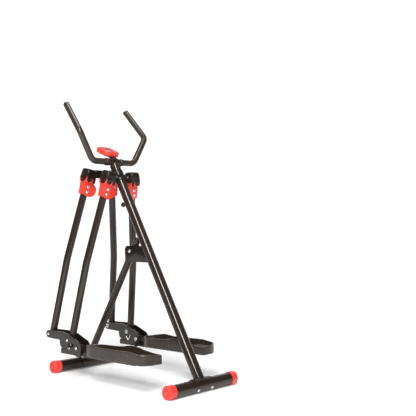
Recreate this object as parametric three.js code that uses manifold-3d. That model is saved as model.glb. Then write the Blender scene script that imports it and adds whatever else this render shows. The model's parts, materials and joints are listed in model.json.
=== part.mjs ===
// Air walker: a folding A-frame with two swinging foot pads that hang on parallel pairs of arms.
// Millimetres. +Z up, +Y the way the user faces, +X the user's right.
import * as THREE from "three";
import { mergeVertices } from "three/addons/utils/BufferGeometryUtils.js";
import Module from "manifold-3d";

const wasm = await Module();
wasm.setup();

// ---- Driving dimensions ----
const GAP = 0.3; // between parts that touch
const SMALL = 8; // sides on a small hole or shank
const ORIGIN_Y = 445; // middle of the machine's length, measured from the rear floor tube
const AXIS_HEIGHT = 32; // floor tubes' axes above the floor
const BASE = { radius: 30, wall: 2, halfSpan: 233, frontY: 866 };
const CAP = { radius: 33, depth: 41, face: 4 };
const SADDLE = { plate: 4.5, halfLength: 58, halfAngle: 75, boltX: 47 };
const REAR_BOLT_ANGLE = 30; // degrees above the horizontal, leaning forward
const FRONT_BOLT_ANGLE = 120;
const POST = { radius: 26, wall: 2, lean: 30.7, length: 1246 };
const STRUT = { radius: 18.5, wall: 1.8, pivotY: 491, pivotZ: 652, above: 72 };
const HEAD = { rearY: 593, rearZ: 1044, stepY: 165, stepZ: 18 };
const SWING = { x: 38, eyeRadius: 10.6, pinRadius: 4.6, halfGap: 13.4, halfWidth: 20 };
const AXLE = { x: 78, radius: 8, end: 103 };
const LEG = { radius: 19, wall: 1.8, drop: 856, forward: 145, bendDrop: 453, bendX: 162, footX: 203 };
const BAR = { radius: 16.8, wall: 1.8, y: 647, z: 1125, bendRadius: 46 };
const TEE = { radius: 18.6, collar: 20, halfLength: 56 };
const CONSOLE = { y: 696, z: 1182, tilt: 22, halfX: 50, halfY: 50.5, halfZ: 15 };
const LINK = { inner: 26.5, plate: 4 };
const FOLD = { y: 662, z: 155 };
const LOCK = { y: 712, z: 164, radius: 4 };
const FRAME = { halfWidth: 17, bottom: 114, top: 141, front: 810, rear: 230 };
const PAD = { x: 197, halfWidth: 58, rear: 118, front: 600, bottom: 128, rim: 176, wall: 5, pitch: 0.9 };
const HEEL = { innerCorner: 14, outerWidth: 80, outerLength: 48 };

// ---- Materials ----
const paint = new THREE.MeshStandardMaterial({ color: 0x2e2723, roughness: 0.3, metalness: 0.4 });
const blackPlastic = new THREE.MeshStandardMaterial({ color: 0x1c1a19, roughness: 0.5 });
const padPlastic = new THREE.MeshStandardMaterial({ color: 0x2c2622, roughness: 0.55 });
const redPlastic = new THREE.MeshStandardMaterial({ color: 0xd82a1f, roughness: 0.4 });
const steel = new THREE.MeshStandardMaterial({ color: 0xc9c9c6, roughness: 0.25, metalness: 1 });
const display = new THREE.MeshStandardMaterial({ color: 0x3a4038, roughness: 0.15 });
const blueRubber = new THREE.MeshStandardMaterial({ color: 0x3a5fb0, roughness: 0.5 });

// ---- Small helpers ----
const rad = THREE.MathUtils.degToRad;
const vec = (x, y, z) => new THREE.Vector3(x, y, z);

function solidOf(geometry) {
  const bare = geometry.index ? geometry.toNonIndexed() : geometry.clone();
  bare.deleteAttribute("normal");
  bare.deleteAttribute("uv");
  const merged = mergeVertices(bare, 1e-4);
  const vertProperties = merged.attributes.position.array;
  const triVerts = new Uint32Array(merged.index.array);
  return new wasm.Manifold(new wasm.Mesh({ numProp: 3, vertProperties, triVerts }));
}

function geometryOf(solid) {
  const mesh = solid.getMesh();
  const geometry = new THREE.BufferGeometry();
  geometry.setAttribute("position", new THREE.BufferAttribute(mesh.vertProperties, 3));
  geometry.setIndex(new THREE.BufferAttribute(mesh.triVerts, 1));
  geometry.computeVertexNormals();
  return geometry;
}

function join(...pieces) {
  return geometryOf(pieces.map(solidOf).reduce((whole, piece) => whole.add(piece)));
}

function cut(body, ...tools) {
  return geometryOf(tools.map(solidOf).reduce((rest, tool) => rest.subtract(tool), solidOf(body)));
}

// Turns a shape made along +Z so that it starts at a point and runs along a direction.
function aim(geometry, start, direction) {
  const turn = new THREE.Quaternion().setFromUnitVectors(vec(0, 0, 1), direction.clone().normalize());
  return geometry.applyQuaternion(turn).translate(start.x, start.y, start.z);
}

function rod(start, end, radius, sides = 16) {
  const run = end.clone().sub(start);
  const geometry = new THREE.CylinderGeometry(radius, radius, run.length(), sides);
  geometry.rotateX(Math.PI / 2).translate(0, 0, run.length() / 2);
  return aim(geometry, start, run);
}

function ring(outer, inner) {
  const shape = new THREE.Shape().absarc(0, 0, outer, 0, 2 * Math.PI);
  shape.holes.push(new THREE.Path().absarc(0, 0, inner, 0, 2 * Math.PI, true));
  return shape;
}

function extrude(shape, depth, curveSegments = 4) {
  return new THREE.ExtrudeGeometry(shape, { depth, bevelEnabled: false, curveSegments });
}

function pipe(start, end, radius, wall, halfSides = 8) {
  const run = end.clone().sub(start);
  return aim(extrude(ring(radius, radius - wall), run.length(), halfSides), start, run);
}

// A side outline, drawn in Y and Z, made solid from one X to another.
function sidePlate(shape, fromX, toX, curveSegments = 4) {
  const turn = new THREE.Matrix4().makeBasis(vec(0, 1, 0), vec(0, 0, 1), vec(1, 0, 0));
  return extrude(shape, toX - fromX, curveSegments).applyMatrix4(turn).translate(fromX, 0, 0);
}

// A front outline, drawn in X and Z, made solid from one Y to another.
function facePlate(shape, fromY, toY, curveSegments = 4) {
  const turn = new THREE.Matrix4().makeBasis(vec(1, 0, 0), vec(0, 0, 1), vec(0, -1, 0));
  return extrude(shape, toY - fromY, curveSegments).applyMatrix4(turn).translate(0, toY, 0);
}

function box(low, high) {
  const size = high.clone().sub(low);
  const middle = low.clone().add(high).multiplyScalar(0.5);
  return new THREE.BoxGeometry(size.x, size.y, size.z).translate(middle.x, middle.y, middle.z);
}

function polygon(points) {
  return new THREE.Shape(points.map(([x, y]) => new THREE.Vector2(x, y)));
}

function roundedBox(halfX, halfY, corner) {
  const shape = new THREE.Shape();
  shape.absarc(halfX - corner, halfY - corner, corner, 0, Math.PI / 2);
  shape.absarc(corner - halfX, halfY - corner, corner, Math.PI / 2, Math.PI);
  shape.absarc(corner - halfX, corner - halfY, corner, Math.PI, 1.5 * Math.PI);
  shape.absarc(halfX - corner, corner - halfY, corner, 1.5 * Math.PI, 2 * Math.PI);
  return shape;
}

// A solid of revolution about +Z from [radius, height] pairs that start and end on the axis.
function turned(profile, segments = 16) {
  const points = profile.map(([radius, height]) => new THREE.Vector2(radius, height));
  return new THREE.LatheGeometry(points, segments).rotateX(Math.PI / 2);
}

// Straight runs joined by round bends, sampled only at the ends of runs and along the bends.
class BentPath extends THREE.Curve {
  constructor(corners, bendRadius, bendSteps) {
    super();
    this.stations = [];
    const last = corners.length - 1;
    const heading = (i) => corners[i + 1].clone().sub(corners[i]).normalize();
    this.stations.push([corners[0], heading(0)]);
    for (let i = 1; i < last; i += 1) {
      const [into, out] = [heading(i - 1), heading(i)];
      const angle = into.angleTo(out);
      const reach = bendRadius * Math.tan(angle / 2);
      const axis = into.clone().cross(out).normalize();
      const start = corners[i].clone().addScaledVector(into, -reach);
      const centre = start.clone().addScaledVector(axis.clone().cross(into), bendRadius);
      for (let k = 0; k <= bendSteps; k += 1) {
        const turn = (angle * k) / bendSteps;
        const point = start.clone().sub(centre).applyAxisAngle(axis, turn).add(centre);
        this.stations.push([point, into.clone().applyAxisAngle(axis, turn)]);
      }
    }
    this.stations.push([corners[last], heading(last - 1)]);
    this.steps = this.stations.length - 1;
  }

  station(t) {
    return this.stations[Math.round(t * this.steps)];
  }

  getPointAt(t) {
    return this.station(t)[0].clone();
  }

  getTangentAt(t) {
    return this.station(t)[1].clone();
  }
}

function bentPipe(corners, bendRadius, bendSteps, radius, wall, halfSides) {
  const extrudePath = new BentPath(corners, bendRadius, bendSteps);
  const options = { steps: extrudePath.steps, extrudePath, curveSegments: halfSides };
  return new THREE.ExtrudeGeometry(ring(radius, radius - wall), options);
}

// A bolt with a domed head at the start, a shank, and a six-sided nut past the end.
function bolt(start, end, shank, head, nut) {
  const run = end.clone().sub(start);
  const along = run.clone().normalize();
  const dome = turned([[0, -0.5 * head], [0.7 * head, -0.4 * head], [head, 0], [0, 0]], SMALL);
  const nutEnd = end.clone().addScaledVector(along, nut);
  return join(rod(start, nutEnd, shank, SMALL), aim(dome, start, run), rod(end, nutEnd, nut, 6));
}

const machine = new THREE.Group();
machine.position.y = -ORIGIN_Y;

function add(name, geometry, material, parent = machine) {
  const mesh = new THREE.Mesh(geometry, material);
  mesh.name = name;
  parent.add(mesh);
  return mesh;
}

const SIDES = [["left", -1], ["right", 1]];

// ---- Floor tubes, end caps and their saddles ----
function floorTube(name, y, boltAngle) {
  const centre = vec(0, y, AXIS_HEIGHT);
  const inside = BASE.halfSpan - CAP.face - GAP;
  const across = vec(0, Math.cos(rad(boltAngle)), Math.sin(rad(boltAngle)));
  const holes = SIDES.map(([, sign]) => {
    const middle = centre.clone().setX(sign * SADDLE.boltX);
    const reach = across.clone().multiplyScalar(BASE.radius + 5);
    return rod(middle.clone().sub(reach), middle.clone().add(reach), 4.5, SMALL);
  });
  const tube = pipe(vec(-inside, y, AXIS_HEIGHT), vec(inside, y, AXIS_HEIGHT), BASE.radius, BASE.wall);
  add(`${name}_floor_tube`, cut(tube, ...holes), paint);
  for (const [side, sign] of SIDES) {
    const inner = BASE.radius + 0.6;
    const cup = turned(
      [[0, 0], [CAP.radius - 3, 0], [CAP.radius, 3], [CAP.radius, CAP.depth], [inner, CAP.depth],
        [inner, CAP.face], [0, CAP.face]], 20);
    const placed = aim(cup, vec(sign * BASE.halfSpan, y, AXIS_HEIGHT), vec(-sign, 0, 0));
    const below = box(vec(-300, y - 50, -20), vec(300, y + 50, 0));
    add(`${name}_cap_${side}`, cut(placed, below), redPlastic);
    const middle = centre.clone().setX(sign * SADDLE.boltX);
    const head = middle.clone().addScaledVector(across, -BASE.radius - GAP);
    const nut = middle.clone().addScaledVector(across, BASE.radius + SADDLE.plate + 2 * GAP);
    add(`${name}_bolt_${side}`, bolt(head, nut, 4, 7.5, 7), steel);
  }
}

// The curved plate under a leg, open where the two floor tube bolts pass.
function saddle(y, legAngle, boltAngle) {
  const inner = BASE.radius + GAP;
  const outer = inner + SADDLE.plate;
  const [from, to] = [rad(legAngle - SADDLE.halfAngle), rad(legAngle + SADDLE.halfAngle)];
  const shape = new THREE.Shape().absarc(0, 0, outer, from, to);
  shape.absarc(0, 0, inner, to, from, true);
  const plate = sidePlate(shape, -SADDLE.halfLength, SADDLE.halfLength, 6);
  const reach = vec(0, Math.cos(rad(boltAngle)), Math.sin(rad(boltAngle))).multiplyScalar(50);
  const holes = SIDES.map(([, sign]) => {
    const middle = vec(sign * SADDLE.boltX, 0, 0);
    return rod(middle, middle.clone().add(reach), 4.5, SMALL);
  });
  return cut(plate, ...holes).translate(0, y, AXIS_HEIGHT);
}

function floorTubeCutter(y) {
  return rod(vec(-100, y, AXIS_HEIGHT), vec(100, y, AXIS_HEIGHT), BASE.radius + 2);
}

floorTube("rear", 0, REAR_BOLT_ANGLE);
floorTube("front", BASE.frontY, FRONT_BOLT_ANGLE);

// ---- Main post ----
const postBase = vec(0, 0, AXIS_HEIGHT);
const postAlong = vec(0, Math.sin(rad(POST.lean)), Math.cos(rad(POST.lean)));
const postPoint = (distance) => postBase.clone().addScaledVector(postAlong, distance);
const postClearance = rod(postPoint(0), postPoint(POST.length + 80), POST.radius + GAP);

const postTube = pipe(postPoint(20), postPoint(POST.length), POST.radius, POST.wall);
add("main_post", join(cut(postTube, floorTubeCutter(0)), saddle(0, 90 - POST.lean, REAR_BOLT_ANGLE)), paint);

const knobRoot = postPoint(1031).add(vec(0, Math.cos(rad(POST.lean)), -Math.sin(rad(POST.lean)))
  .multiplyScalar(POST.radius + GAP));
const knob = turned([[0, 0], [6, 0], [6, 12], [11, 15], [13, 20], [11, 27], [6, 30], [0, 30]], 12);
add("post_knob", aim(knob, knobRoot, vec(0, Math.cos(rad(POST.lean)), -Math.sin(rad(POST.lean)))), blackPlastic);

// ---- Folding strut and its bracket ----
const strutPivot = vec(0, STRUT.pivotY, STRUT.pivotZ);
const strutFoot = vec(0, BASE.frontY, AXIS_HEIGHT);
const strutAlong = strutPivot.clone().sub(strutFoot).normalize();
const strutLean = THREE.MathUtils.radToDeg(Math.atan2(strutAlong.z, strutAlong.y));
const strutTop = strutPivot.clone().addScaledVector(strutAlong, STRUT.above);
const strutTube = pipe(strutFoot.clone().addScaledVector(strutAlong, 20), strutTop, STRUT.radius, STRUT.wall);
const strutBody = join(
  cut(strutTube, floorTubeCutter(BASE.frontY)),
  saddle(BASE.frontY, strutLean, FRONT_BOLT_ANGLE),
);
const pivotHole = rod(strutPivot.clone().setX(-40), strutPivot.clone().setX(40), 5.6, SMALL);
add("front_strut", cut(strutBody, pivotHole), paint);
const plug = turned([[0, -12], [STRUT.radius - STRUT.wall - GAP, -12], [STRUT.radius - STRUT.wall - GAP, GAP],
  [STRUT.radius - 1, GAP], [STRUT.radius - 1, 3], [STRUT.radius - 4, 5], [0, 5]]);
add("strut_end_plug", aim(plug, strutTop, strutAlong), blackPlastic);

const cheek = polygon([[338, 598], [512, 598], [523, 609], [527, 664], [513, 680], [385, 680]]);
const webRear = [[345, 598], [376, 598], [425, 680], [394, 680]];
const bracketBody = join(
  sidePlate(cheek, -24, -20),
  sidePlate(cheek, 20, 24),
  sidePlate(polygon(webRear), -21, 21),
);
add("fold_bracket", cut(bracketBody, postClearance, pivotHole), paint);
add("strut_pivot_bolt", bolt(strutPivot.clone().setX(-24.3), strutPivot.clone().setX(24.3), 5, 8, 8), steel);

// ---- Head frame: carries the four knuckles ----
const headEnds = [
  { name: "rear", y: HEAD.rearY, z: HEAD.rearZ, low: 13, high: 13 },
  { name: "front", y: HEAD.rearY + HEAD.stepY, z: HEAD.rearZ + HEAD.stepZ, low: 20, high: 24 },
];
const frontEnd = headEnds[1];
const headTilt = Math.atan2(HEAD.stepZ, HEAD.stepY);

// Leans a piece about one end of the head frame, onto the line that both ends' swing pins share.
function leaned(geometry, { y, z }) {
  return geometry.translate(0, -y, -z).rotateX(headTilt).translate(0, y, z);
}

function headBeam(end) {
  const { y, z, low, high } = end;
  const beam = box(vec(-29, y - SWING.halfWidth, z - low), vec(29, y + SWING.halfWidth, z + high));
  const ears = SIDES.map(([, sign]) => {
    const shape = new THREE.Shape();
    shape.absarc(sign * SWING.x, z, 11, -Math.PI / 2, Math.PI / 2, sign < 0);
    shape.lineTo(sign * 20, z + 11);
    shape.lineTo(sign * 20, z - 11);
    return facePlate(shape, y - SWING.halfWidth, y + SWING.halfWidth, 3);
  });
  return leaned(join(beam, ...ears), end);
}

// The slots and pin holes that the swing eyes turn in.
function swingRoom(end) {
  return SIDES.flatMap(([, sign]) => {
    const at = (offset) => vec(sign * SWING.x, end.y + offset, end.z);
    const slot = rod(at(-SWING.halfGap), at(SWING.halfGap), 13, 12);
    const pinHole = rod(at(-30), at(30), 5.2, SMALL);
    return [leaned(slot, end), leaned(pinHole, end)];
  });
}

const spine = polygon([[HEAD.rearY, HEAD.rearZ - 18], [frontEnd.y, frontEnd.z - 20],
  [frontEnd.y, frontEnd.z + 24], [HEAD.rearY, HEAD.rearZ + 17]]);
const collar = rod(postPoint(1146), postPoint(1208), 29);
const headBody = join(headBeam(headEnds[0]), headBeam(frontEnd), sidePlate(spine, -14, 14), collar);
add("head_frame", cut(headBody, postClearance, ...headEnds.flatMap(swingRoom)), blackPlastic);

// ---- Handlebar ----
const teeCentre = vec(0, BAR.y, BAR.z);
const onX = (x) => teeCentre.clone().setX(x);
const tee = join(
  rod(onX(-TEE.halfLength), onX(TEE.halfLength), TEE.radius),
  rod(onX(-TEE.halfLength), onX(-TEE.halfLength + 13), TEE.collar),
  rod(onX(TEE.halfLength - 13), onX(TEE.halfLength), TEE.collar),
  rod(postPoint(POST.length - 70), postPoint(POST.length + 12), POST.radius - POST.wall - GAP),
  rod(postPoint(POST.length + GAP), postPoint(POST.length + 12), POST.radius),
);
add("handlebar_tee", cut(tee, rod(onX(-90), onX(90), BAR.radius + 0.4)), paint);

for (const [side, sign] of SIDES) {
  const corners = [
    onX(sign * 5),
    onX(sign * 143),
    vec(sign * 225, BAR.y - 2, 1271),
    vec(sign * 206, 790, 1431),
  ];
  add(`handlebar_${side}`, bentPipe(corners, BAR.bendRadius, 4, BAR.radius, BAR.wall, 6), paint);
}

// ---- Console ----
const consoleFrame = new THREE.Group();
consoleFrame.position.set(0, CONSOLE.y, CONSOLE.z);
consoleFrame.rotation.x = rad(CONSOLE.tilt);
machine.add(consoleFrame);

const lensHole = box(vec(-27, -8, 12), vec(27, 28, 20));
const buttonHole = rod(vec(0, -30, 8), vec(0, -30, 20), 7.6);
const caseBody = extrude(roundedBox(CONSOLE.halfX, CONSOLE.halfY, 26), 2 * CONSOLE.halfZ);
caseBody.translate(0, 0, -CONSOLE.halfZ);
add("console_case", cut(caseBody, lensHole, buttonHole), redPlastic, consoleFrame);
add("console_lens", box(vec(-26.7, -7.7, 12.3), vec(26.7, 27.7, 15)), display, consoleFrame);
const buttonPlace = vec(0, -30, 11);
const button = turned([[0, 0], [7, 0], [7, 5], [5.5, 6.5], [0, 7]]);
add("console_button", aim(button, buttonPlace, vec(0, 0, 1)), blueRubber, consoleFrame);
const underside = -CONSOLE.halfZ - GAP;
const teeInConsole = teeCentre.clone().sub(consoleFrame.position).applyAxisAngle(vec(1, 0, 0), -rad(CONSOLE.tilt));
const bracketArm = box(vec(-14, -70, underside - 5), vec(14, 12, underside));
const bracketSeat = box(vec(-14, -82, -27), vec(14, -52, -10));
const teeRoom = rod(teeInConsole.clone().setX(-40), teeInConsole.clone().setX(40), TEE.radius + 0.8);
add("console_bracket", cut(join(bracketArm, bracketSeat), teeRoom), blackPlastic, consoleFrame);

// ---- One side of swinging parts, drawn for the right side and mirrored for the left ----
function axleCarrier(end) {
  const at = (offset) => vec(SWING.x, end.y + offset, end.z);
  const eye = rod(at(-13), at(13), SWING.eyeRadius, 12);
  const pin = rod(at(-19.5), at(19.5), SWING.pinRadius, SMALL);
  const axle = rod(at(0), vec(AXLE.end, end.y, end.z), AXLE.radius, 12);
  return join(leaned(eye, end), leaned(pin, end), axle);
}

function tongue(centre, halfWidth, low, high) {
  const shape = new THREE.Shape();
  shape.absarc(centre, low + halfWidth, halfWidth, Math.PI, 2 * Math.PI);
  shape.lineTo(centre + halfWidth, high);
  shape.lineTo(centre - halfWidth, high);
  return shape;
}

// The tongues that hang from a knuckle, grown by a margin where a part has to clear them.
function tongues(margin) {
  const plates = [[14.5, 17.5], [-17, 9]].flatMap(([centre, halfWidth]) => {
    const shape = tongue(centre, halfWidth + margin, -44 - margin, 0);
    return [facePlate(shape, 21 - margin, 28.5, 3), facePlate(shape, -35.5, -28 + margin, 3)];
  });
  const sideTongue = tongue(-3.5, 21 + margin, -46 - margin, 0);
  plates.push(sidePlate(sideTongue, 27 - margin, 35.5, 3));
  plates.push(sidePlate(sideTongue, -30.5, -22 + margin, 3));
  return plates;
}

function knuckle() {
  const core = extrude(roundedBox(31, 31.5, 13), 54, 2).translate(4, -3.5, -27);
  return join(core, ...tongues(0));
}

// The red clamp under a knuckle. Its inner lobe is round on a front arm and cut to flats on a rear arm.
function armBracket(end) {
  const shape = new THREE.Shape();
  shape.moveTo(30, -28);
  shape.lineTo(21, -112);
  shape.lineTo(-8, -121);
  if (end === "front") {
    shape.absarc(-21, -83, 38, rad(-70), rad(-215), true);
  } else {
    for (const [x, z] of [[-24, -119], [-50, -101], [-58, -92], [-58, -66], [-50, -56]]) shape.lineTo(x, z);
  }
  shape.lineTo(-30, -45);
  shape.lineTo(-30, -28);
  const holes = [-70, -97].map((z) => rod(vec(0, -30, z), vec(0, 30, z), 4.5, SMALL));
  const bore = rod(vec(0, 0, -47), vec(0, 0, -140), LEG.radius + 0.6);
  const body = facePlate(shape, -22, 22);
  const rim = facePlate(polygon([[-29, -46], [-29, -28], [33, -28], [32, -46]]), -34, 27);
  return cut(join(body, rim), ...tongues(0.5), bore, ...holes);
}

// Two bolts through an arm, joined by the strap that both nuts sit on.
function armBolts() {
  const bolts = [-70, -97].map((z) => bolt(vec(0, -22.4, z), vec(0, 24.4, z), 4, 7, 6));
  const strap = box(vec(-7, 22.4, -104), vec(7, 24.4, -63));
  return join(...bolts, strap);
}

function linkPlate(fromX, toX) {
  const [footY, footZ] = [frontEnd.y + LEG.forward, frontEnd.z - LEG.drop];
  const shape = new THREE.Shape();
  shape.absarc(footY, footZ, 20, -Math.PI / 2, Math.PI / 2);
  shape.lineTo(footY - 108, footZ + 23);
  shape.quadraticCurveTo(footY - 160, footZ + 22, footY - 200, footZ + 7);
  shape.lineTo(FOLD.y - 6, FOLD.z + 41);
  shape.absarc(FOLD.y, FOLD.z, 41, rad(98), rad(270));
  shape.lineTo(footY - 155, FOLD.z - 11);
  shape.absarc(footY - 137, footZ - 28, 37, rad(-120), rad(10));
  shape.lineTo(footY - 10, footZ - 20);
  const holes = [
    [footY, footZ, 5.6],
    [footY - HEAD.stepY, footZ - HEAD.stepZ, 5.6],
    [FOLD.y, FOLD.z, 5.6],
    [LOCK.y, LOCK.z, LOCK.radius + 0.5],
  ];
  const tools = holes.map(([y, z, radius]) => rod(vec(fromX - 10, y, z), vec(toX + 10, y, z), radius, SMALL));
  return cut(sidePlate(shape, fromX, toX), ...tools);
}

// A foot pad rests a little heel-high about its fold bolt.
function pitched(geometry) {
  return geometry.translate(0, -FOLD.y, -FOLD.z).rotateX(-rad(PAD.pitch)).translate(0, FOLD.y, FOLD.z);
}

function padFrame() {
  const { halfWidth, bottom, top, front, rear } = FRAME;
  const outer = polygon([[-halfWidth, bottom], [halfWidth, bottom], [halfWidth, top], [-halfWidth, top]]);
  const hole = polygon([[2 - halfWidth, bottom + 2], [halfWidth - 2, bottom + 2], [halfWidth - 2, top - 2],
    [2 - halfWidth, top - 2]]);
  outer.holes.push(hole);
  const lug = polygon([[636, top - 1], [724, top - 1], [724, 152], [716, 159], [692, 159], [684, 174],
    [648, 174], [638, 164]]);
  const endPlate = box(vec(1 - halfWidth, front - 4, bottom + 1), vec(halfWidth - 1, front, top - 1));
  const body = join(facePlate(outer, rear, front), endPlate, sidePlate(lug, -13, 13));
  const foldHole = rod(vec(-20, FOLD.y, FOLD.z), vec(20, FOLD.y, FOLD.z), 5.6, SMALL);
  return pitched(cut(body, foldHole).translate(LEG.footX, 0, 0));
}

// The tray's plan: a tight inner heel corner, a long outer one and an oval toe.
function padOutline(inset) {
  const half = PAD.halfWidth - inset;
  const [rear, front] = [PAD.rear + inset, PAD.front - inset];
  const corner = HEEL.innerCorner - inset;
  const [width, length] = [HEEL.outerWidth - inset, HEEL.outerLength - inset];
  const shape = new THREE.Shape();
  shape.absarc(PAD.x - half + corner, rear + corner, corner, Math.PI, 1.5 * Math.PI);
  shape.absellipse(PAD.x + half - width, rear + length, width, length, 1.5 * Math.PI, 2 * Math.PI);
  shape.absellipse(PAD.x, front - 90, half - 2, 90, 0, Math.PI);
  return shape;
}

// The tops of the two side walls, as heights along Y from toe to heel.
const INNER_RIM = [[600, 176], [490, 177], [405, 181], [350, 190], [320, 191], [285, 188], [250, 180], [214, 176]];
const OUTER_RIM = [[600, 176], [540, 184], [500, 188], [440, 182], [300, 184], [230, 185], [190, 181], [150, 176]];

// What has to be taken off above one side wall.
function aboveWall(rim, fromX, toX) {
  const shape = new THREE.Shape();
  const [toe, ...rest] = rim.map(([y, z]) => new THREE.Vector2(y, z));
  shape.moveTo(toe.x, toe.y);
  shape.splineThru(rest);
  shape.lineTo(PAD.rear - 10, PAD.rim - 1);
  shape.lineTo(PAD.rear - 10, PAD.rim + 60);
  shape.lineTo(PAD.front + 10, PAD.rim + 60);
  shape.lineTo(PAD.front + 10, PAD.rim - 1);
  return sidePlate(shape, fromX, toX, 2);
}

function footPad() {
  const { x, bottom, wall, front, halfWidth } = PAD;
  const tread = FRAME.top + 1;
  const block = extrude(padOutline(0), 80, 6).translate(0, 0, bottom);
  const inside = extrude(padOutline(wall), 100, 6).translate(0, 0, tread + wall);
  const under = extrude(padOutline(wall), 40, 6).translate(0, 0, tread - 40);
  const frameRoom = box(vec(LEG.footX - 18, 330, bottom - 5), vec(LEG.footX + 18, front + 10, tread));
  const innerSky = aboveWall(INNER_RIM, x - halfWidth - 5, x);
  const outerSky = aboveWall(OUTER_RIM, x, x + halfWidth + 5);
  return pitched(cut(block, inside, under, frameRoom, innerSky, outerSky));
}

function lockPin() {
  const at = (x) => vec(LEG.footX + x, LOCK.y, LOCK.z);
  return join(
    rod(at(-13), at(34), LOCK.radius, SMALL),
    aim(turned([[0, 0], [8, 0], [9.5, 2], [9.5, 12], [7, 15], [0, 15]], 12), at(33), vec(1, 0, 0)),
  );
}

function linkBolt(y, z) {
  const reach = LINK.inner + LINK.plate + GAP;
  return bolt(vec(LEG.footX + reach, y, z), vec(LEG.footX - reach, y, z), 5, 8, 7);
}

function makeSide(side, sign) {
  const group = new THREE.Group();
  group.scale.x = sign;
  machine.add(group);
  for (const end of headEnds) {
    const { name, y, z } = end;
    const pivot = vec(AXLE.x, y, z);
    const bend = vec(LEG.bendX, y + (LEG.forward * LEG.bendDrop) / LEG.drop, z - LEG.bendDrop);
    const foot = vec(LEG.footX, y + LEG.forward, z - LEG.drop);
    const up = pivot.clone().sub(bend).normalize();
    const across = vec(1, 0, 0).addScaledVector(up, -up.x).normalize();
    const armFrame = new THREE.Matrix4().makeBasis(across, up.clone().cross(across), up).setPosition(pivot);
    const bore = rod(vec(SWING.x, y, z), vec(AXLE.end + 1, y, z), AXLE.radius + 0.4, 12);
    add(`${name}_axle_${side}`, axleCarrier(end), steel, group);
    const earRoom = rod(vec(0, y, z), vec(SWING.x + 13, y, z), 60, 12);
    add(`${name}_knuckle_${side}`, cut(knuckle().applyMatrix4(armFrame), bore, earRoom), blackPlastic, group);
    add(`${name}_arm_bracket_${side}`, armBracket(name).applyMatrix4(armFrame), redPlastic, group);
    add(`${name}_arm_bolts_${side}`, armBolts().applyMatrix4(armFrame), steel, group);
    const top = pivot.clone().addScaledVector(up, -50);
    const down = foot.clone().sub(bend).normalize();
    const tip = foot.clone().addScaledVector(down, 7);
    const tube = bentPipe([top, bend, tip], 300, 2, LEG.radius, LEG.wall, 6);
    const boltHoles = [-70, -97].map((drop) =>
      rod(vec(0, -30, drop), vec(0, 30, drop), 4.5, SMALL).applyMatrix4(armFrame));
    const footHole = rod(foot.clone().setX(150), foot.clone().setX(250), name === "rear" ? 6.2 : 5.6, SMALL);
    add(`${name}_arm_${side}`, cut(tube, ...boltHoles, footHole), paint, group);
  }
  const [footY, footZ] = [frontEnd.y + LEG.forward, frontEnd.z - LEG.drop];
  const [inner, outer] = [LINK.inner, LINK.inner + LINK.plate];
  add(`link_plate_outer_${side}`, linkPlate(LEG.footX + inner, LEG.footX + outer), paint, group);
  add(`link_plate_inner_${side}`, linkPlate(LEG.footX - outer, LEG.footX - inner), paint, group);
  add(`front_link_bolt_${side}`, linkBolt(footY, footZ), steel, group);
  add(`rear_link_bolt_${side}`, linkBolt(footY - HEAD.stepY, footZ - HEAD.stepZ), steel, group);
  add(`fold_bolt_${side}`, linkBolt(FOLD.y, FOLD.z), steel, group);
  add(`lock_pin_${side}`, lockPin(), blackPlastic, group);
  add(`pad_frame_${side}`, padFrame(), paint, group);
  add(`foot_pad_${side}`, footPad(), padPlastic, group);
}

for (const [side, sign] of SIDES) makeSide(side, sign);

export default machine;
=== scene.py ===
"""The look of an air walker: a folding A-frame whose two foot pads swing on parallel pairs of arms.

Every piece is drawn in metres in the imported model's own frame and rides on one of its bodies. Pieces
that come in pairs are drawn for the right side (+X) and mirrored for the left.
"""
import json
from math import atan2, cos, pi, radians, sin, sqrt, tan

import bmesh
import bpy
from mathutils import Matrix, Vector


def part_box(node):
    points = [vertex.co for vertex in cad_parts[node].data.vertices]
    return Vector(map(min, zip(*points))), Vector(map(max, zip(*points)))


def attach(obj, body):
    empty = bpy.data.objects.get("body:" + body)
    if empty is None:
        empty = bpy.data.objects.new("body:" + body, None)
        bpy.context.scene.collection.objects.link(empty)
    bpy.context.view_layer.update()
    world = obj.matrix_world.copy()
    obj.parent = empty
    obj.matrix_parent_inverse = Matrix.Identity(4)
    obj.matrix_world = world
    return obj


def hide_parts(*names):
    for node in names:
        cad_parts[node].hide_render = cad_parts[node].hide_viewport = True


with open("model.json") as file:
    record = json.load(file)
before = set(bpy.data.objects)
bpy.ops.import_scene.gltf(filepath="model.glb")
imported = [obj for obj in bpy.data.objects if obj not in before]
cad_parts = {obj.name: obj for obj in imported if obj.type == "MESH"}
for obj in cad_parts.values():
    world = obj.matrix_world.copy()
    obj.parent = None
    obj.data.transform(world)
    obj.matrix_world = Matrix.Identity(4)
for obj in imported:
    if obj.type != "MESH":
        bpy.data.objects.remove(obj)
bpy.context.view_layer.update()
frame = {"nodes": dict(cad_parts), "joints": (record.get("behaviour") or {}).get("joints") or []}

# ---- Places that the frame gives ----
JOINTS = {joint["name"]: joint for joint in frame["joints"]}


def middle(node):
    low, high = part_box(node)
    return (low + high) / 2


def pivot(joint):
    return Vector(JOINTS[joint]["pos_m"])


REAR_TUBE = middle("rear_floor_tube")
FRONT_TUBE = middle("front_floor_tube")
STRUT_PIVOT = pivot("strut_fold")
ARM_TOPS = {"front": pivot("walk_right"), "rear": pivot("rear_arm_swing_right")}
ARM_STEP = ARM_TOPS["front"] - ARM_TOPS["rear"]
FRONT_FOOT = pivot("pedal_level_right")
REAR_FOOT = FRONT_FOOT - ARM_STEP
FOLD = pivot("pad_fold_right")
BUTTON_AXIS = -Vector(JOINTS["console_button_press"]["axis"])

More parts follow.
